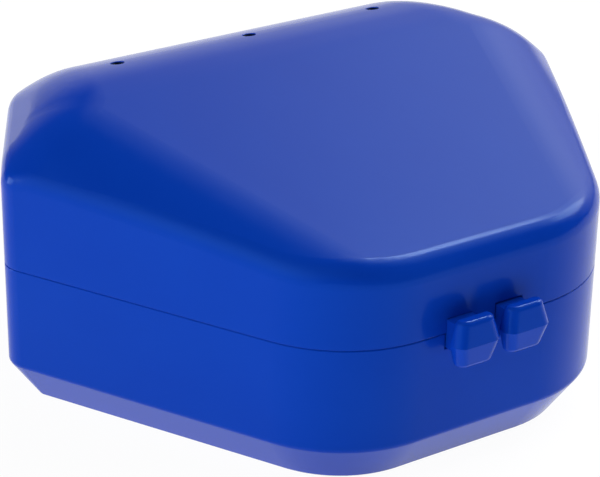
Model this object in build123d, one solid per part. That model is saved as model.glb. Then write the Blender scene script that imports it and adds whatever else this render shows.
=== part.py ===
from build123d import *
from math import atan2, asin, cos, hypot, pi, radians, sin, tan
import os

# Orthodontic retainer box: a bevelled base, a lid with sloping facets, two latch tabs and two hinge pins.
# Drawing frame: X across, Y from the front wall to the rear, Z up, with the part line at Z = 0.
# The finished pieces are moved so that the rest face lies on Z = 0 under the middle of the box.

# Plan of the walls, shared by the lid and the base
FRONT_HALF = 18.6
WIDEST_HALF = 40.3
WIDEST_Y = 40.8
DEPTH = 62.8
REAR_CORNER_ANGLE = 29.1
FRONT_CORNER_R = 16.3
SIDE_CORNER_R = 3.4
REAR_CORNER_R = 5.6
WALL = 1.8

# Lid
LID_FRONT_HEIGHT = 9.6
TOP_SLOPE = 11.9
REAR_ARC_R = 23.7
REAR_ARC_Y = 46.3
SIDE_SHOULDER_FRONT = 10.05
SIDE_FACET_TILT = 45.5
REAR_FACET_TILT = 44.4
REAR_FACET_RISE = 0.2
SIDE_BLEND_R = 15.6
CREST_BLEND_R = 12.0
SHOULDER_R = 2.95
VENT_R = 0.85
VENT_EDGE_R = 0.12
VENT_SPACING = 19.1
VENT_Y = 50.6
VENT_COUNT = 3

# Base
BASE_HEIGHT = 18.5
BEVEL_TOP = 13.0
BEVEL_INSET = 3.7
BEVEL_EDGE_R = 0.9
REST_EDGE_R = 0.5
LEAST_CORNER_R = 0.8

# Joint between the two shells: a lip on the base stands inside a skirt on the lid
PART_GAP = 0.08
LIP_HEIGHT = 1.8
LIP_THICKNESS = 0.7
LIP_CLEARANCE = 0.3
RIM_EDGE_R = 0.12
LIP_TOP_CLEARANCE = 0.3
LIP_BREAK_HALF = 8.2

# Latch tabs: one moulding used twice, on the lid and, turned over, on the base
TAB_CENTRE_X = 3.5
HEAD_WIDTH = 6.2
HEAD_HEIGHT = 5.8
HEAD_THICKNESS = 2.4
HEAD_FRONT_CORNER_R = 1.3
HEAD_BACK_CORNER_R = 0.75
HEAD_EDGE_R = 0.65
HEAD_DRAFT = 13.0
NECK_WIDTH = 3.55
NECK_HEIGHT = 3.6
NECK_LENGTH = 1.9
NECK_RUNNING_CLEARANCE = 0.2
NECK_SEAT_CLEARANCE = 0.03
PLATE_WIDTH = 5.4
PLATE_HALF_HEIGHT = 4.3
PLATE_THICKNESS = 1.1
PLATE_SEAT_CLEARANCE = 0.05
TONGUE_CLEARANCE = 0.35
BEAD_HEIGHT = 0.15
BEAD_SINK = 0.35
BEAD_Z = 3.2

# Hinge: two stations, each a lid knuckle between two base ears on a pin
HINGE_X = 16.0
BARREL_R = 2.4
BARREL_WALL_GAP = 0.5
KNUCKLE_WIDTH = 6.0
EAR_WIDTH = 3.4
KNUCKLE_SIDE_GAP = 0.25
WEB_HEIGHT = 6.0
WEB_ROOT_GAP = 0.25
WEB_SINK = 0.6
WEB_LEAN = 55
PIN_R = 1.0
PIN_SEAT_CLEARANCE = 0.02
PIN_RUNNING_CLEARANCE = 0.06
PIN_END_RECESS = 0.2
PIN_CHAMFER = 0.2

# Sizes that follow from the ones above
splay = atan2(WIDEST_HALF - FRONT_HALF, WIDEST_Y)
slope = radians(TOP_SLOPE)
hinge_y = DEPTH + BARREL_WALL_GAP + BARREL_R
skirt = WALL - LIP_THICKNESS - LIP_CLEARANCE
box_front_y = -NECK_LENGTH - HEAD_THICKNESS
box_rear_y = hinge_y + BARREL_R
to_rest_frame = Pos(0, -(box_front_y + box_rear_y) / 2, BASE_HEIGHT)
REACH = 120
CREASE_ANGLE = 12


def wall_corners(inset):
    """Front, widest and rear corner points of the right side, with the walls moved in by the inset."""
    turn = radians(REAR_CORNER_ANGLE)
    front_x = FRONT_HALF - inset * (1 - sin(splay)) / cos(splay)
    side = (cos(splay), -sin(splay))
    rear = (cos(turn), sin(turn))
    side_reach = side[0] * WIDEST_HALF + side[1] * WIDEST_Y - inset
    rear_reach = rear[0] * WIDEST_HALF + rear[1] * WIDEST_Y - inset
    det = side[0] * rear[1] - side[1] * rear[0]
    widest_x = (side_reach * rear[1] - side[1] * rear_reach) / det
    widest_y = (side[0] * rear_reach - rear[0] * side_reach) / det
    rear_y = DEPTH - inset
    rear_x = (rear_reach - rear[1] * rear_y) / rear[0]
    return (front_x, inset), (widest_x, widest_y), (rear_x, rear_y)


def outline(inset):
    """Six-sided plan with rounded corners, moved in by the inset."""
    right = wall_corners(inset)
    left = [(-x, y) for x, y in reversed(right)]
    plan = make_face(Polyline(*right, *left, close=True))
    radii = (FRONT_CORNER_R, SIDE_CORNER_R, REAR_CORNER_R)
    for (_, y), radius in zip(right, radii):
        corners = [v for v in plan.vertices() if abs(v.Y - y) < 0.01]
        plan = fillet(corners, max(radius - inset, LEAST_CORNER_R))
    return plan


def prism(inset, bottom, top):
    """Straight walls between two heights."""
    return Pos(0, 0, bottom) * extrude(outline(inset), top - bottom)


def creases(solid, low, high):
    """Edges between two heights where two faces meet at more than the crease angle."""
    found = []
    faces = solid.faces()
    for edge in solid.edges():
        middle = edge @ 0.5
        if not low < middle.Z < high:
            continue
        beside = [face for face in faces if face.distance_to(middle) < 1e-4]
        if len(beside) < 2:
            continue
        normals = [face.normal_at(middle) for face in beside[:2]]
        if normals[0].get_angle(normals[1]) > CREASE_ANGLE:
            found.append(edge)
    return found


def above(point, normal):
    """Block that fills the space on the far side of a plane."""
    return Plane(origin=point, z_dir=normal) * Pos(0, 0, REACH / 2) * Box(3 * REACH, 3 * REACH, REACH)


def lid_form(inset):
    """Closed form of the lid, with every surface moved in by the inset."""
    arc_r = REAR_ARC_R - inset
    plane_end_y = REAR_ARC_Y - REAR_ARC_R * sin(slope)
    plane_end_z = LID_FRONT_HEIGHT + tan(slope) * plane_end_y
    arc_z = plane_end_z - REAR_ARC_R * cos(slope)
    start = Vector(0, REAR_ARC_Y - arc_r * sin(slope), arc_z + arc_r * cos(slope))
    front_z = start.Z - tan(slope) * (start.Y - inset)
    end_angle = asin((DEPTH - inset - REAR_ARC_Y) / arc_r)
    shoulder_z = arc_z + arc_r * cos(end_angle)
    middle_angle = (end_angle - slope) / 2
    middle = Vector(0, REAR_ARC_Y + arc_r * sin(middle_angle), arc_z + arc_r * cos(middle_angle))
    end = Vector(0, DEPTH - inset, shoulder_z)
    profile = make_face([
        Line((0, inset, 0), (0, inset, front_z)),
        Line((0, inset, front_z), start),
        ThreePointArc(start, middle, end),
        Line(end, (0, DEPTH - inset, 0)),
        Line((0, DEPTH - inset, 0), (0, inset, 0)),
    ])
    form = extrude(profile, REACH, dir=(1, 0, 0), both=True) & prism(inset, 0, REACH / 2)

    drop = inset * (1 - sin(radians(SIDE_FACET_TILT))) / cos(radians(SIDE_FACET_TILT))
    front, widest, _ = wall_corners(inset)
    turn = radians(REAR_CORNER_ANGLE)
    tilt = radians(REAR_FACET_TILT)
    for side in (-1, 1):
        corner = Vector(side * widest[0], widest[1], shoulder_z)
        along = corner - Vector(side * front[0], front[1], SIDE_SHOULDER_FRONT - drop)
        inward = Vector(-side * cos(splay), sin(splay), tan(radians(SIDE_FACET_TILT)))
        side_normal = along.cross(inward) * side
        rear_normal = Vector(side * cos(turn) * sin(tilt), sin(turn) * sin(tilt), cos(tilt))
        form -= above(corner, side_normal)
        form -= above(corner + Vector(0, 0, REAR_FACET_RISE), rear_normal)

    crest = creases(form, shoulder_z + 1, REACH)
    straight = [edge for edge in crest if edge.geom_type == GeomType.LINE]
    form = fillet(sorted(straight, key=lambda edge: edge.length)[-2:], SIDE_BLEND_R - inset)
    form = fillet(creases(form, shoulder_z + 1, REACH), CREST_BLEND_R - inset)
    return fillet(creases(form, LID_FRONT_HEIGHT - inset - 1, shoulder_z + 1), SHOULDER_R - inset)


def base_form(inset):
    """Closed form of the base: straight walls down to a bevel that runs in to the rest face."""
    run = hypot(BEVEL_INSET, BASE_HEIGHT - BEVEL_TOP)
    across = (BASE_HEIGHT - BEVEL_TOP) / run
    up = BEVEL_INSET / run
    fall = (BASE_HEIGHT - BEVEL_TOP) / BEVEL_INSET
    bevel_z = -BEVEL_TOP + inset * up - (inset - inset * across) * fall
    floor_z = -BASE_HEIGHT + inset
    foot_inset = inset * across + (-BEVEL_TOP + inset * up - floor_z) / fall
    bevel = loft([Pos(0, 0, floor_z) * outline(foot_inset), Pos(0, 0, bevel_z) * outline(inset)], ruled=True)
    return prism(inset, bevel_z, 0) + bevel


def web_profile(direction):
    """Side view of a hinge barrel with its web, on the lid (1) or on the base (-1)."""
    barrel = make_face(Wire.make_circle(BARREL_R, Plane((0, hinge_y, 0), z_dir=(1, 0, 0))))
    root = DEPTH - WEB_SINK
    lean = radians(WEB_LEAN)
    web = make_face(Polyline(
        (0, root, direction * WEB_ROOT_GAP),
        (0, root, direction * WEB_HEIGHT),
        (0, DEPTH, direction * WEB_HEIGHT),
        (0, hinge_y + BARREL_R * cos(lean), direction * BARREL_R * sin(lean)),
        (0, hinge_y, direction * WEB_ROOT_GAP),
        close=True,
    ))
    return barrel + web


def hinge_web(direction, centre_x, width):
    """One knuckle or ear of the hinge."""
    return Pos(centre_x, 0, 0) * extrude(web_profile(direction), width / 2, dir=(1, 0, 0), both=True)


def pin_rod(centre_x, radius, length):
    """Cylinder along the hinge axis."""
    return Pos(centre_x, hinge_y, 0) * Rot(0, 90, 0) * Cylinder(radius, length)


def neck_notch(side, direction, clearance):
    """Opening for a latch neck in a front wall, above (1) or below (-1) the part line."""
    height = NECK_HEIGHT / 2 + clearance
    width = NECK_WIDTH + 2 * clearance
    return Pos(side * TAB_CENTRE_X, 0, direction * height / 2) * Box(width, 4 * WALL, height + PART_GAP)


def at_front(depth, half_width):
    """Block round the middle of the front wall."""
    return Box(2 * half_width, 2 * depth, REACH / 2)


def vent_rims(solid):
    """Upper rims of the vent holes."""
    found = []
    for edge in solid.edges():
        middle = edge.center()
        at_vents = middle.Z > LID_FRONT_HEIGHT and abs(middle.Y - VENT_Y) < VENT_R
        if at_vents and abs(edge.length / (2 * pi * VENT_R) - 1) < 0.1:
            found.append(edge)
    return found


def lid_shell():
    """Lid moulding: hollow facets, skirt, vents, the notches of the latch necks and two knuckles."""
    rim_z = PART_GAP / 2
    outer = lid_form(0) - prism(-1, -1, rim_z)
    outer = fillet(creases(outer, rim_z - 0.01, rim_z + 0.01), RIM_EDGE_R)
    for index in range(VENT_COUNT):
        x = (index - (VENT_COUNT - 1) / 2) * VENT_SPACING
        outer -= Pos(x, VENT_Y, LID_FRONT_HEIGHT) * Cylinder(VENT_R, REACH / 2)
    outer = fillet(vent_rims(outer), VENT_EDGE_R)
    shell = outer - lid_form(WALL) - prism(WALL, -1, 1)
    relief = prism(skirt, 0, LIP_HEIGHT + LIP_TOP_CLEARANCE)
    shell -= relief - at_front(WALL, LIP_BREAK_HALF - LIP_CLEARANCE)
    for side in (-1, 1):
        shell += hinge_web(1, side * HINGE_X, KNUCKLE_WIDTH)
        shell -= pin_rod(side * HINGE_X, PIN_R + PIN_RUNNING_CLEARANCE, KNUCKLE_WIDTH + 1)
    shell -= neck_notch(-1, 1, NECK_SEAT_CLEARANCE)
    return shell - neck_notch(1, 1, NECK_RUNNING_CLEARANCE)


def base_shell():
    """Base moulding: bevelled tray, lip, the notches of the latch necks and four hinge ears."""
    rim_z = -PART_GAP / 2
    outer = base_form(0)
    outer = fillet(creases(outer, -BEVEL_TOP - 0.1, -BEVEL_TOP + 0.1), BEVEL_EDGE_R)
    outer = fillet(creases(outer, -BASE_HEIGHT - 0.1, -BASE_HEIGHT + 0.1), REST_EDGE_R)
    outer -= prism(-1, rim_z, 1)
    outer = fillet(creases(outer, rim_z - 0.01, rim_z + 0.01), RIM_EDGE_R)
    lip = prism(WALL - LIP_THICKNESS, -1, LIP_HEIGHT) - at_front(WALL, LIP_BREAK_HALF)
    shell = outer + lip - base_form(WALL) - prism(WALL, -1, REACH / 2)
    pitch = KNUCKLE_WIDTH / 2 + KNUCKLE_SIDE_GAP + EAR_WIDTH / 2
    for side in (-1, 1):
        for step in (-1, 1):
            shell += hinge_web(-1, side * HINGE_X + step * pitch, EAR_WIDTH)
        shell -= pin_rod(side * HINGE_X, PIN_R + PIN_SEAT_CLEARANCE, 2 * pitch + EAR_WIDTH + 1)
    shell -= neck_notch(-1, -1, NECK_RUNNING_CLEARANCE)
    return shell - neck_notch(1, -1, NECK_SEAT_CLEARANCE)


def head_outline(draw_in):
    """Plan of a latch head, with its front and its sides drawn in."""
    half = HEAD_WIDTH / 2 - draw_in
    front_y = -NECK_LENGTH - HEAD_THICKNESS + draw_in
    return make_face(Polyline(
        (-half, -NECK_LENGTH), (-half, front_y), (half, front_y), (half, -NECK_LENGTH), close=True))


def latch_head():
    """Head with draft above and below a crease that lies on the part line."""
    top_z = HEAD_HEIGHT / 2
    draw_in = top_z * tan(radians(HEAD_DRAFT))
    half = loft([head_outline(0), Pos(0, 0, top_z) * head_outline(draw_in)], ruled=True)
    for on_back, radius in ((False, HEAD_FRONT_CORNER_R), (True, HEAD_BACK_CORNER_R)):
        middles = {edge: edge @ 0.5 for edge in half.edges()}
        upright = [edge for edge, middle in middles.items() if 0.1 < middle.Z < top_z - 0.1]
        half = fillet([e for e in upright if (middles[e].Y > -NECK_LENGTH - 0.1) == on_back], radius)
    half = fillet(creases(half, top_z - 0.01, top_z + 0.01), HEAD_EDGE_R)
    return half + mirror(half, about=Plane.XY)


def latch_tab():
    """Latch tab of the lid: head, square neck, and a plate whose lower half is the snap tongue."""
    plate_back = WALL + TONGUE_CLEARANCE + PLATE_THICKNESS
    seat_y = WALL + PLATE_SEAT_CLEARANCE
    tongue_y = WALL + TONGUE_CLEARANCE
    neck_y = (plate_back - NECK_LENGTH) / 2
    neck = Pos(0, neck_y, 0) * Box(NECK_WIDTH, plate_back + NECK_LENGTH, NECK_HEIGHT)
    seat_depth = plate_back - seat_y
    seat = Pos(0, seat_y + seat_depth / 2, PLATE_HALF_HEIGHT / 2) * Box(
        PLATE_WIDTH, seat_depth, PLATE_HALF_HEIGHT)
    tongue = Pos(0, tongue_y + PLATE_THICKNESS / 2, -PLATE_HALF_HEIGHT / 2) * Box(
        PLATE_WIDTH, PLATE_THICKNESS, PLATE_HALF_HEIGHT)
    bead_y = tongue_y + BEAD_SINK
    bead = Pos(0, bead_y, -BEAD_Z) * Rot(0, 90, 0) * Cylinder(BEAD_HEIGHT + BEAD_SINK, PLATE_WIDTH)
    bead &= Pos(0, bead_y - REACH / 2, 0) * Box(REACH, REACH, REACH)
    return latch_head() + neck + seat + tongue + bead


def hinge_pin():
    """Hinge pin with a chamfer on both ends, along X."""
    length = KNUCKLE_WIDTH + 2 * (KNUCKLE_SIDE_GAP + EAR_WIDTH - PIN_END_RECESS)
    pin = Cylinder(PIN_R, length)
    pin = chamfer(pin.edges().filter_by(GeomType.CIRCLE), PIN_CHAMFER)
    return Pos(0, hinge_y, 0) * Rot(0, 90, 0) * pin


def pieces():
    """Every piece of the box in the drawing frame, by name."""
    tab = latch_tab()
    turned_tab = Rot(0, 180, 0) * tab
    pin = hinge_pin()
    return {
        "base_shell": base_shell(),
        "lid_shell": lid_shell(),
        "lid_latch_tab": Pos(-TAB_CENTRE_X, 0, 0) * tab,
        "base_latch_tab": Pos(TAB_CENTRE_X, 0, 0) * turned_tab,
        "hinge_pin_left": Pos(-HINGE_X, 0, 0) * pin,
        "hinge_pin_right": Pos(HINGE_X, 0, 0) * pin,
    }


os.makedirs("parts", exist_ok=True)
for name, solid in pieces().items():
    placed = to_rest_frame * solid
    export_step(placed, f"parts/{name}.step")
    box = placed.bounding_box()
    print(f"{name}: volume {placed.volume:.1f}, from {tuple(box.min)} to {tuple(box.max)}")
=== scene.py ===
import logging
import math
from dataclasses import dataclass
from enum import Enum
from typing import Sequence

import bmesh
import bpy
from mathutils import Matrix, Vector
from mathutils.geometry import convex_hull_2d


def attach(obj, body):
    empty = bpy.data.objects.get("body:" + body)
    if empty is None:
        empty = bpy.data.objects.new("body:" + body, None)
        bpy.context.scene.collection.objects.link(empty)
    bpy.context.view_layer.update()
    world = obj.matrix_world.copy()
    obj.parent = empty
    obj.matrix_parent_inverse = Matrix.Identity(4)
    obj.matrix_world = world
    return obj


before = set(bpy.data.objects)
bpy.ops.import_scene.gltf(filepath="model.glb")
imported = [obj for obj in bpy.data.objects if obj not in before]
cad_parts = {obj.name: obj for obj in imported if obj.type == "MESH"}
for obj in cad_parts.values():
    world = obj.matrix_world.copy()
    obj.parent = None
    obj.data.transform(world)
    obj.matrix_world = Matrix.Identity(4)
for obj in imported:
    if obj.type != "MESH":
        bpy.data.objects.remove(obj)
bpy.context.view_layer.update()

log = logging.getLogger("retainer_box")

Colour = tuple[float, float, float]
Point = tuple[float, float, float]
Socket = bpy.types.NodeSocket
Tree = bpy.types.GeometryNodeTree

MM = 0.001


class Body(Enum):
    """The rigid bodies that pieces ride on."""

    BASE = "base"
    LID = "lid"


class Kind(Enum):
    """Kinds of input that a Geometry Nodes tree has."""

    GEOMETRY = "NodeSocketGeometry"
    LENGTH = "NodeSocketFloat"
    COUNT = "NodeSocketInt"
    FINISH = "NodeSocketMaterial"


class Graph:
    """A small helper that adds nodes to a node tree and wires them."""

    def __init__(self, tree: bpy.types.NodeTree) -> None:
        """Keeps the tree.

        Args:
            tree: The node tree to build in.
        """
        self.tree = tree

    def add(self, kind: str, **settings: object) -> bpy.types.Node:
        """Adds a node.

        Args:
            kind: The node's type name.
            settings: Properties of the node, by name.

        Returns:
            The new node.
        """
        node = self.tree.nodes.new(kind)
        for name, value in settings.items():
            setattr(node, name, value)
        return node

    def put(self, node: bpy.types.Node, **values: object) -> bpy.types.Node:
        """Sets the values of a node's input sockets.

        Args:
            node: The node.
            values: Socket values by name, with an underscore for each space.

        Returns:
            The same node.
        """
        for name, value in values.items():
            node.inputs[name.replace("_", " ")].default_value = value
        return node

    def wire(self, source: Socket, target: Socket) -> None:
        """Joins an output socket to an input socket."""
        self.tree.links.new(source, target)

    def maths(self, operation: str, *terms: Socket | float) -> Socket:
        """Adds a sum of one operation.

        Args:
            operation: The operation's name.
            terms: What goes in, in order: sockets or numbers.

        Returns:
            The result's socket.
        """
        node = self.add("ShaderNodeMath", operation=operation)
        for place, term in zip(node.inputs, terms):
            if isinstance(term, bpy.types.NodeSocket):
                self.wire(term, place)
            else:
                place.default_value = term
        return node.outputs["Value"]

    def ramp(self, source: Socket, stops: Sequence[tuple[float, float]]) -> Socket:
        """Adds a grey colour ramp.

        Args:
            source: The factor.
            stops: Pairs of position and grey value.

        Returns:
            The ramp's colour socket.
        """
        node = self.add("ShaderNodeValToRGB")
        for element, (position, grey) in zip(node.color_ramp.elements, stops):
            element.position = position
            element.color = (grey, grey, grey, 1.0)
        self.wire(source, node.inputs["Fac"])
        return node.outputs["Color"]

    def span(self, source: Socket, low: float, high: float) -> Socket:
        """Maps a factor from 0..1 to a range.

        Args:
            source: The factor.
            low: The value at 0.
            high: The value at 1.

        Returns:
            The mapped value's socket.
        """
        node = self.add("ShaderNodeMapRange")
        self.put(node, To_Min=low, To_Max=high)
        self.wire(source, node.inputs["Value"])
        return node.outputs["Result"]

    def stretch(self, place: Socket, scale: Point) -> Socket:
        """Scales coordinates, so that a pattern is drawn out along an axis.

        Args:
            place: The coordinates.
            scale: The factor along each axis.

        Returns:
            The scaled coordinates.
        """
        node = self.put(self.add("ShaderNodeMapping"), Scale=scale)
        self.wire(place, node.inputs["Vector"])
        return node.outputs["Vector"]

    def noise(self, place: Socket, size: float, detail: float, roughness: float = 0.5) -> Socket:
        """Adds a noise texture whose blobs are about one size across.

        Args:
            place: The coordinates.
            size: The size of the blobs, in metres.
            detail: Octaves of finer noise.
            roughness: Strength of the finer octaves.

        Returns:
            The noise's factor socket.
        """
        node = self.add("ShaderNodeTexNoise")
        self.put(node, Scale=1.0 / size, Detail=detail, Roughness=roughness)
        self.wire(place, node.inputs["Vector"])
        return node.outputs["Fac"]

    def bump(self, height: Socket, distance: float, below: Socket | None = None) -> Socket:
        """Adds a bump.

        Args:
            height: The pattern that gives the height.
            distance: The height of the pattern, in metres.
            below: The normal of a coarser bump that this one goes over.

        Returns:
            The bumped normal.
        """
        node = self.put(self.add("ShaderNodeBump"), Strength=1.0, Distance=distance)
        self.wire(height, node.inputs["Height"])
        if below is not None:
            self.wire(below, node.inputs["Normal"])
        return node.outputs["Normal"]


def new_material(name: str) -> tuple[bpy.types.Material, Graph, bpy.types.Node]:
    """Makes a material with a Principled shader.

    Args:
        name: The material's name.

    Returns:
        The material, its graph and the shader node.
    """
    material = bpy.data.materials.new(name)
    material.use_nodes = True
    graph = Graph(material.node_tree)
    return material, graph, material.node_tree.nodes["Principled BSDF"]


class Texture(Enum):
    """How the mould was finished: roughness span and grain height, in metres."""

    SATIN = (0.15, 0.20, 0.0010 * MM)
    POLISHED = (0.09, 0.13, 0.0004 * MM)
    DRILLED = (0.55, 0.75, 0.006 * MM)


@dataclass(frozen=True)
class MouldedPlastic:
    """Injection-moulded plastic: a fine die grain, slow flow marks and a soft gloss."""

    name: str
    texture: Texture
    colour: Colour = (0.0018, 0.044, 0.455)
    flow_colour: Colour = (0.0022, 0.048, 0.47)
    gloss_tint: Colour = (0.14, 0.50, 1.0)
    specular_level: float = 0.2
    grain: float = 0.3 * MM
    speck: float = 1.8 * MM
    flow: float = 14 * MM
    flow_stretch: Point = (1.0, 0.45, 1.0)
    flow_stops: tuple[tuple[float, float], ...] = ((0.35, 0.0), (0.65, 1.0))
    flow_height: float = 0.012 * MM

    def make(self) -> bpy.types.Material:
        """Builds the material.

        Returns:
            The material.
        """
        smooth, rough, grain_height = self.texture.value
        material, graph, shader = new_material(self.name)
        place = graph.add("ShaderNodeTexCoord").outputs["Object"]
        flow = graph.noise(graph.stretch(place, self.flow_stretch), self.flow, detail=3.0)
        grain = graph.noise(place, self.grain, detail=2.0, roughness=0.6)
        speck = graph.noise(place, self.speck, detail=4.0, roughness=0.65)

        mix = graph.add("ShaderNodeMix", data_type="RGBA")
        graph.put(mix, A=(*self.colour, 1.0), B=(*self.flow_colour, 1.0))
        graph.wire(graph.ramp(flow, self.flow_stops), mix.inputs["Factor"])
        graph.wire(mix.outputs["Result"], shader.inputs["Base Color"])
        graph.wire(graph.span(speck, smooth, rough), shader.inputs["Roughness"])
        graph.put(shader, Specular_IOR_Level=self.specular_level)
        graph.put(shader, Specular_Tint=(*self.gloss_tint, 1.0))

        waves = graph.bump(flow, self.flow_height)
        graph.wire(graph.bump(grain, grain_height, below=waves), shader.inputs["Normal"])
        return material


@dataclass(frozen=True)
class DrawnSteel:
    """Stainless wire with fine lines along it from the drawing die."""

    name: str
    colour: Colour = (0.56, 0.56, 0.58)
    roughness: tuple[float, float] = (0.22, 0.38)
    line: float = 0.12 * MM
    line_stretch: Point = (0.06, 1.0, 1.0)
    line_height: float = 0.003 * MM
    stain: float = 2.2 * MM

    def make(self) -> bpy.types.Material:
        """Builds the material.

        Returns:
            The material.
        """
        material, graph, shader = new_material(self.name)
        place = graph.add("ShaderNodeTexCoord").outputs["Object"]
        lines = graph.noise(graph.stretch(place, self.line_stretch), self.line, detail=3.0)
        stain = graph.noise(place, self.stain, detail=3.0)
        graph.put(shader, Base_Color=(*self.colour, 1.0), Metallic=1.0)
        wear = graph.maths("MULTIPLY", lines, stain)
        graph.wire(graph.span(wear, *self.roughness), shader.inputs["Roughness"])
        graph.wire(graph.bump(lines, self.line_height), shader.inputs["Normal"])
        return material


SATIN_SHELL = MouldedPlastic("satin_blue_shell", Texture.SATIN)
GLOSSY_LATCH = MouldedPlastic("glossy_blue_latch", Texture.POLISHED)
# Near-black painted shade: the colour of the sleeves set inside the vents, which stands in for the
# shade deep in the holes.
PAINTED_SHADE_BORE = MouldedPlastic(
    "painted_shade_bore", Texture.DRILLED,
    colour=(0.0006, 0.0012, 0.011), flow_colour=(0.0008, 0.0015, 0.014),
)
PIN_STEEL = DrawnSteel("drawn_steel")


def dress(node: str, material: bpy.types.Material) -> None:
    """Gives a carried-over node its finish.

    Args:
        node: The node's name.
        material: The finish.
    """
    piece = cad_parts[node]
    for slot in piece.material_slots:
        slot.material = material
    log.info("dressed %s with %s", node, material.name)


def start_tree(name: str, inputs: dict[str, Kind]) -> tuple[Tree, Graph, Sequence[Socket]]:
    """Starts a Geometry Nodes tree.

    Args:
        name: The tree's name.
        inputs: The kinds of its inputs, by name. The finish is added to them.

    Returns:
        The tree, its graph and the sockets that its inputs come from.
    """
    tree = bpy.data.node_groups.new(name, "GeometryNodeTree")
    tree.is_modifier = True
    for label, kind in {**inputs, "Finish": Kind.FINISH}.items():
        tree.interface.new_socket(label, in_out="INPUT", socket_type=kind.value)
    tree.interface.new_socket("Geometry", in_out="OUTPUT", socket_type=Kind.GEOMETRY.value)
    graph = Graph(tree)
    return tree, graph, graph.add("NodeGroupInput").outputs


def end_tree(graph: Graph, geometry: Socket, material: Socket) -> None:
    """Ends a Geometry Nodes tree in real faces with a finish.

    Args:
        graph: The tree's graph.
        geometry: What the tree has made.
        material: The finish.
    """
    real = graph.add("GeometryNodeRealizeInstances")
    graph.wire(geometry, real.inputs["Geometry"])
    finish = graph.add("GeometryNodeSetMaterial")
    graph.wire(real.outputs["Geometry"], finish.inputs["Geometry"])
    graph.wire(material, finish.inputs["Material"])
    graph.wire(finish.outputs["Geometry"], graph.add("NodeGroupOutput").inputs["Geometry"])


def grown(name: str, body: Body, tree: Tree, values: dict[str, object],
          base: bpy.types.Mesh, place: Matrix) -> bpy.types.Object:
    """Runs a Geometry Nodes tree once and keeps the result as a plain mesh.

    Args:
        name: The piece's name.
        body: The body that the piece rides on.
        tree: The tree to run.
        values: The tree's inputs, by name.
        base: The mesh that the tree starts from.
        place: Where the result goes.

    Returns:
        The piece.
    """
    host = bpy.data.objects.new(f"{name}_host", base)
    bpy.context.scene.collection.objects.link(host)
    modifier = host.modifiers.new("tree", "NODES")
    modifier.node_group = tree
    for item in tree.interface.items_tree:
        if item.item_type == "SOCKET" and item.in_out == "INPUT" and item.name in values:
            modifier[item.identifier] = values[item.name]
    shown = host.evaluated_get(bpy.context.evaluated_depsgraph_get())
    result = bpy.data.meshes.new_from_object(shown)
    host.modifiers.remove(modifier)
    bpy.data.objects.remove(host)
    result.transform(place)
    result.name = name
    piece = bpy.data.objects.new(name, result)
    bpy.context.scene.collection.objects.link(piece)
    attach(piece, body.value)
    log.info("made %s with %d faces on %s", name, len(result.polygons), body.value)
    return piece


@dataclass(frozen=True)
class BeadTree:
    """Geometry Nodes tree that sweeps a thin round bead along the edges of a mesh."""

    name: str = "edge_bead"
    sides: int = 8

    def make(self) -> Tree:
        """Builds the tree.

        Returns:
            The tree, with inputs for the path, the bead's radius and its finish.
        """
        tree, graph, given = start_tree(self.name, {"Path": Kind.GEOMETRY, "Radius": Kind.LENGTH})
        path = graph.add("GeometryNodeMeshToCurve")
        graph.wire(given["Path"], path.inputs["Mesh"])
        section = graph.put(graph.add("GeometryNodeCurvePrimitiveCircle"), Resolution=self.sides)
        graph.wire(given["Radius"], section.inputs["Radius"])
        bead = graph.put(graph.add("GeometryNodeCurveToMesh"), Fill_Caps=True)
        graph.wire(path.outputs["Curve"], bead.inputs["Curve"])
        graph.wire(section.outputs["Curve"], bead.inputs["Profile Curve"])
        end_tree(graph, bead.outputs["Mesh"], given["Finish"])
        return tree


@dataclass(frozen=True)
class RingTree:
    """Geometry Nodes tree that lays thin rings on a grid."""

    name: str = "ring_grid"
    sides: int = 40

    def make(self) -> Tree:
        """Builds the tree.

        Returns:
            The tree, with inputs for the grid, the ring and its finish.
        """
        lengths = ("Pitch X", "Pitch Y", "Radius", "Width", "Height")
        inputs = {"Columns": Kind.COUNT, "Rows": Kind.COUNT, **dict.fromkeys(lengths, Kind.LENGTH)}
        tree, graph, given = start_tree(self.name, inputs)

        grid = graph.add("GeometryNodeMeshGrid")
        for axis, count, pitch in (("X", "Columns", "Pitch X"), ("Y", "Rows", "Pitch Y")):
            gaps = graph.maths("SUBTRACT", given[count], 1.0)
            extent = graph.maths("MULTIPLY", gaps, given[pitch])
            graph.wire(extent, grid.inputs[f"Size {axis}"])
            graph.wire(given[count], grid.inputs[f"Vertices {axis}"])

        path = graph.put(graph.add("GeometryNodeCurvePrimitiveCircle"), Resolution=self.sides)
        graph.wire(given["Radius"], path.inputs["Radius"])
        section = graph.add("GeometryNodeCurvePrimitiveQuadrilateral")
        graph.wire(given["Width"], section.inputs["Width"])
        graph.wire(given["Height"], section.inputs["Height"])
        ring = graph.add("GeometryNodeCurveToMesh")
        graph.wire(path.outputs["Curve"], ring.inputs["Curve"])
        graph.wire(section.outputs["Curve"], ring.inputs["Profile Curve"])

        spread = graph.add("GeometryNodeInstanceOnPoints")
        graph.wire(grid.outputs["Mesh"], spread.inputs["Points"])
        graph.wire(ring.outputs["Mesh"], spread.inputs["Instance"])
        end_tree(graph, spread.outputs["Instances"], given["Finish"])
        return tree


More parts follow.
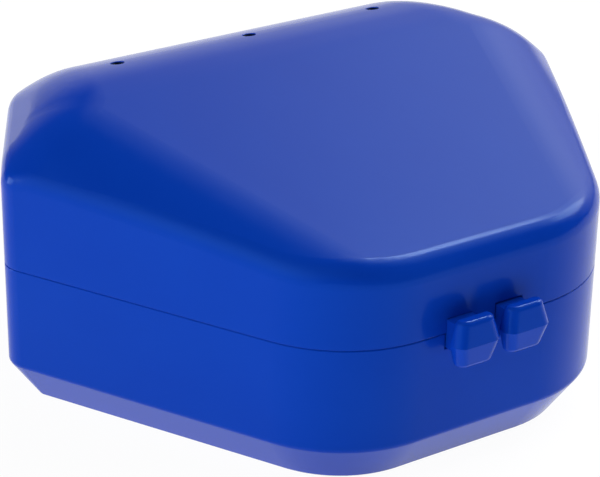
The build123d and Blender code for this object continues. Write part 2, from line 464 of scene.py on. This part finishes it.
@dataclass(frozen=True)
class Rings:
    """Equal rings on a grid: the witness marks of tool pins, or near-black sleeves of painted shade
    inside small holes.
    """

    columns: int
    rows: int
    pitch: tuple[float, float]
    centre: Point
    slope: float = 0.0
    radius: float = 2.4 * MM
    width: float = 0.16 * MM
    height: float = 0.12 * MM

    def mesh(self, name: str, body: Body, tree: Tree,
             finish: bpy.types.Material) -> bpy.types.Object:
        """Makes the rings as one plain mesh.

        Args:
            name: The piece's name.
            body: The body that the rings belong to.
            tree: The tree that lays the rings.
            finish: The rings' finish.

        Returns:
            The piece.
        """
        values = {
            "Columns": self.columns, "Rows": self.rows,
            "Pitch X": self.pitch[0], "Pitch Y": self.pitch[1],
            "Radius": self.radius, "Width": self.width, "Height": self.height, "Finish": finish,
        }
        lean = Matrix(((1, 0, 0, 0), (0, 1, 0, 0), (0, self.slope, 1, 0), (0, 0, 0, 1)))
        place = Matrix.Translation(self.centre) @ lean
        return grown(name, body, tree, values, bpy.data.meshes.new(f"{name}_host"), place)


@dataclass(frozen=True)
class PartLineBead:
    """The thin flash bead that stands in the part line on the base's rim."""

    radius: float = 0.03 * MM
    cut: float = 18.2 * MM
    line: float = 18.5 * MM
    inset: tuple[float, float] = (0.0029, 0.0012)
    rear: float = 30.0 * MM
    latch_half: float = 5.7 * MM

    def path(self) -> bpy.types.Mesh:
        """Cuts the base's wall level and keeps its outline, apart from the hinge and the latch.

        Returns:
            A mesh of the outline's edges, set in from the wall's face.
        """
        work = bmesh.new()
        work.from_mesh(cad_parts["base_shell"].data)
        everything = list(work.verts) + list(work.edges) + list(work.faces)
        cut = bmesh.ops.bisect_plane(
            work, geom=everything, plane_co=(0, 0, self.cut), plane_no=(0, 0, 1),
        )
        section = [item.co.xy for item in cut["geom_cut"] if isinstance(item, bmesh.types.BMVert)]
        outline = self.split([section[number] for number in convex_hull_2d(section)])
        work.free()
        pairs = [(number, (number + 1) % len(outline)) for number in range(len(outline))]
        edges = [pair for pair in pairs if self.shown(outline[pair[0]], outline[pair[1]])]
        shrink_x, shrink_y = (1 - share for share in self.inset)
        places = [(place.x * shrink_x, place.y * shrink_y, self.line) for place in outline]
        mesh = bpy.data.meshes.new("part_line_path")
        mesh.from_pydata(places, edges, [])
        return mesh

    def split(self, hull: list[Vector]) -> list[Vector]:
        """Adds a corner on each side of the latch to the front's long straight stretch.

        Args:
            hull: The outline's corners, in order.

        Returns:
            The corners with the two new ones among them.
        """
        outline = []
        for number, start in enumerate(hull):
            end = hull[(number + 1) % len(hull)]
            outline.append(start)
            if start.y < 0 and start.x * end.x < 0:
                near = math.copysign(self.latch_half, start.x)
                shares = [(start.x - side) / (start.x - end.x) for side in (near, -near)]
                outline += [start.lerp(end, share) for share in shares]
        return outline

    def shown(self, start: Vector, end: Vector) -> bool:
        """Says whether a stretch of the outline is away from the hinge and the latch."""
        at_hinge = max(start.y, end.y) > self.rear
        at_latch = abs(start.x + end.x) / 2 < self.latch_half
        return not at_hinge and not at_latch

    def mesh(self, tree: Tree, finish: bpy.types.Material) -> bpy.types.Object:
        """Makes the bead.

        Args:
            tree: The tree that sweeps the bead.
            finish: The bead's finish.

        Returns:
            The piece.
        """
        values = {"Radius": self.radius, "Finish": finish}
        return grown("part_line_bead", Body.BASE, tree, values, self.path(), Matrix.Identity(4))


@dataclass
class LidAssembly:
    """The lid moulding, with near-black sleeves of painted shade in its vents and the pin marks
    under its top.
    """

    finish: bpy.types.Material
    vent_shade_finish: bpy.types.Material
    rings: Tree
    # Thin near-black sleeves, one in each of the three vents, that paint shade into the holes.
    vents: Rings = Rings(
        columns=3, rows=1, pitch=(19.1 * MM, 0.0), centre=(0.0, 18.7 * MM, 36.0 * MM),
        slope=-0.185, radius=0.825 * MM, width=0.04 * MM, height=1.62 * MM,
    )
    marks: Rings = Rings(
        columns=2, rows=2, pitch=(24.0 * MM, 18.0 * MM), centre=(0.0, -4.0 * MM, 32.144 * MM),
        slope=0.211,
    )

    def mesh(self) -> None:
        """Makes the near-black painted-shade sleeves inside the vents and the pin marks on the
        ceiling.
        """
        # The vent sleeves are painted shade: near-black rings that darken the holes where their
        # walls would be lit.
        self.vents.mesh("vent_shade_sleeves", Body.LID, self.rings, self.vent_shade_finish)
        self.marks.mesh("lid_pin_marks", Body.LID, self.rings, self.finish)

    def dress(self) -> None:
        """Gives the lid its finish."""
        dress("lid_shell", self.finish)


@dataclass
class BaseAssembly:
    """The base moulding, with its part line's bead and the pin marks on its floor."""

    finish: bpy.types.Material
    rings: Tree
    beads: Tree
    marks: Rings = Rings(
        columns=3, rows=2, pitch=(20.0 * MM, 22.0 * MM), centre=(0.0, 3.0 * MM, 1.8 * MM),
    )
    bead: PartLineBead = PartLineBead()

    def mesh(self) -> None:
        """Makes the bead in the part line and the pin marks on the tray's floor."""
        self.bead.mesh(self.beads, self.finish)
        self.marks.mesh("base_pin_marks", Body.BASE, self.rings, self.finish)

    def dress(self) -> None:
        """Gives the base its finish."""
        dress("base_shell", self.finish)


@dataclass
class ThumbLatch:
    """The two latch tabs, one on the lid and one on the base."""

    finish: bpy.types.Material
    tabs: tuple[str, str] = ("lid_latch_tab", "base_latch_tab")

    def dress(self) -> None:
        """Gives both tabs their finish."""
        for tab in self.tabs:
            dress(tab, self.finish)


@dataclass
class HingeLine:
    """The two hinge pins."""

    finish: bpy.types.Material
    pins: tuple[str, str] = ("hinge_pin_left", "hinge_pin_right")

    def dress(self) -> None:
        """Gives both pins their finish."""
        for pin in self.pins:
            dress(pin, self.finish)


def bearing(azimuth: float, elevation: float) -> Vector:
    """Turns two angles in degrees into a direction.

    Args:
        azimuth: The angle round Z from +X.
        elevation: The angle above the floor.

    Returns:
        The direction, one long.
    """
    turn, lift = math.radians(azimuth), math.radians(elevation)
    level = math.cos(lift)
    return Vector((level * math.cos(turn), level * math.sin(turn), math.sin(lift)))


@dataclass(frozen=True)
class Softbox:
    """A soft rectangular lamp that faces the object; its place is two angles, in degrees."""

    name: str
    azimuth: float
    elevation: float
    size: tuple[float, float]
    power: float
    distance: float = 1.3
    aim: Point = (0.0, 0.0, 20 * MM)

    def hang(self) -> None:
        """Puts the lamp in the scene."""
        data = bpy.data.lights.new(self.name, "AREA")
        data.shape = "RECTANGLE"
        data.size, data.size_y = self.size
        data.energy = self.power
        way = bearing(self.azimuth, self.elevation)
        piece = bpy.data.objects.new(self.name, data)
        bpy.context.scene.collection.objects.link(piece)
        piece.location = Vector(self.aim) + way * self.distance
        piece.rotation_mode = "QUATERNION"
        piece.rotation_quaternion = (-way).to_track_quat("-Z", "Y")


@dataclass(frozen=True)
class Glow:
    """A soft round glow on the room's wall, brightest at its middle; all angles in degrees."""

    azimuth: float
    elevation: float
    strength: float
    reach: float = 30.0

    def shine(self, graph: Graph, direction: Socket) -> Socket:
        """Adds the glow's nodes.

        Args:
            graph: The world's graph.
            direction: The direction looked at.

        Returns:
            The glow's light.
        """
        near = graph.add("ShaderNodeVectorMath", operation="DOT_PRODUCT")
        near.inputs[1].default_value = bearing(self.azimuth, self.elevation)
        graph.wire(direction, near.inputs[0])
        spot = graph.add("ShaderNodeMapRange")
        edge = math.cos(math.radians(self.reach))
        graph.put(spot, From_Min=edge, From_Max=1.0, To_Max=self.strength)
        graph.wire(near.outputs["Value"], spot.inputs["Value"])
        return spot.outputs["Result"]


@dataclass(frozen=True)
class PaleFloor:
    """A plain pale floor that keeps the object's shadow and is white to the camera and in gloss."""

    half: float = 3.0
    drop: float = 0.02 * MM
    colour: Colour = (0.86, 0.86, 0.86)
    roughness: float = 0.9
    glow: float = 0.44
    white_share: float = 0.93

    def finish(self) -> bpy.types.Material:
        """Builds the floor's material.

        Returns:
            The material.
        """
        material, graph, shader = new_material("pale_floor")
        graph.put(shader, Base_Color=(*self.colour, 1.0), Roughness=self.roughness)
        graph.put(shader, Specular_IOR_Level=0.0)
        graph.put(shader, Emission_Color=(1.0, 1.0, 1.0, 1.0), Emission_Strength=self.glow)
        path = graph.add("ShaderNodeLightPath").outputs
        mirrored = graph.maths("ADD", path["Is Glossy Ray"], path["Is Transmission Ray"])
        shown = graph.maths("ADD", path["Is Camera Ray"], mirrored)
        white = graph.add("ShaderNodeEmission")
        mix = graph.add("ShaderNodeMixShader")
        graph.wire(graph.maths("MULTIPLY", shown, self.white_share), mix.inputs["Fac"])
        graph.wire(shader.outputs["BSDF"], mix.inputs[1])
        graph.wire(white.outputs["Emission"], mix.inputs[2])
        output = material.node_tree.nodes["Material Output"]
        graph.wire(mix.outputs["Shader"], output.inputs["Surface"])
        return material

    def lay(self) -> None:
        """Lays the floor just under the object."""
        mesh = bpy.data.meshes.new("floor")
        corners = [(-self.half, -self.half, 0), (self.half, -self.half, 0),
                   (self.half, self.half, 0), (-self.half, self.half, 0)]
        mesh.from_pydata(corners, [], [(0, 1, 2, 3)])
        mesh.materials.append(self.finish())
        piece = bpy.data.objects.new("floor", mesh)
        piece.location.z = -self.drop
        bpy.context.scene.collection.objects.link(piece)


@dataclass(frozen=True)
class FittedCamera:
    """The camera that was fitted to the photograph; its turn is an axis times an angle."""

    eye: Point = (-141.28 * MM, -206.44 * MM, 136.98 * MM)
    turn: Point = (1.96288, -0.57329, 0.37916)
    focal_px: float = 2221.97
    centre_px: tuple[float, float] = (297.44, 242.89)
    picture: tuple[int, int] = (600, 477)
    sensor: float = 36.0
    clip: tuple[float, float] = (0.01, 20.0)

    def set_up(self) -> None:
        """Sets the camera at the photograph's place and direction."""
        data = bpy.data.cameras.new("camera")
        data.sensor_width = self.sensor
        width, height = self.picture
        data.lens = self.focal_px / width * self.sensor
        data.shift_x = (width / 2 - self.centre_px[0]) / width
        data.shift_y = (self.centre_px[1] - height / 2) / width
        data.clip_start, data.clip_end = self.clip
        piece = bpy.data.objects.new("camera", data)
        bpy.context.scene.collection.objects.link(piece)
        axis = Vector(self.turn)
        world_to_view = Matrix.Rotation(axis.length, 3, axis.normalized())
        right, down, forward = (Vector(row) for row in world_to_view)
        turn = Matrix((right, -down, -forward)).transposed()
        piece.matrix_world = Matrix.Translation(self.eye) @ turn.to_4x4()
        bpy.context.scene.camera = piece


@dataclass(frozen=True)
class Studio:
    """The floor, the room's soft light, the lamps and the camera."""

    camera: FittedCamera = FittedCamera()
    floor: PaleFloor = PaleFloor()
    ambient: float = 0.05
    glows: tuple[Glow, ...] = (
        Glow(8, 48, 1.66),
        Glow(31, 48, 1.15),
        Glow(8, 28, 1.07),
        Glow(31, 28, 0.68),
        Glow(54, 8, 0.45),
        Glow(77, 8, 0.47),
        Glow(205, 38, 0.55, reach=40.0),
        Glow(185, 15, 1.6, reach=40.0),
    )
    softboxes: tuple[Softbox, ...] = (
        Softbox("back_left_softbox", 150, 8, size=(0.5, 0.4), power=4.0),
        Softbox("right_softbox", 0, 38, size=(0.5, 0.5), power=4.2),
        Softbox("strip_light", 27, 53, size=(0.36, 0.14), power=2.2),
    )

    def world(self) -> None:
        """Lights the room by soft glows on its walls, with a little light from all round."""
        world = bpy.data.worlds.new("room")
        bpy.context.scene.world = world
        world.use_nodes = True
        graph = Graph(world.node_tree)
        direction = graph.add("ShaderNodeTexCoord").outputs["Generated"]
        light = self.ambient
        for glow in self.glows:
            light = graph.maths("ADD", glow.shine(graph, direction), light)
        background = world.node_tree.nodes["Background"]
        graph.wire(light, background.inputs["Color"])
        background.inputs["Strength"].default_value = 1.0

    def build(self) -> None:
        """Builds the whole studio."""
        self.camera.set_up()
        self.floor.lay()
        self.world()
        for softbox in self.softboxes:
            softbox.hang()
        bpy.context.scene.view_settings.view_transform = "Standard"


def main() -> None:
    """Builds the studio and every sub-assembly, in order."""
    logging.basicConfig(level=logging.INFO, format="%(message)s")
    Studio().build()
    shell = SATIN_SHELL.make()
    rings = RingTree().make()
    base = BaseAssembly(shell, rings, BeadTree().make())
    lid = LidAssembly(shell, PAINTED_SHADE_BORE.make(), rings)
    for moulding in (base, lid):
        moulding.mesh()
        moulding.dress()
    ThumbLatch(GLOSSY_LATCH.make()).dress()
    HingeLine(PIN_STEEL.make()).dress()


if __name__ == "__main__":
    main()
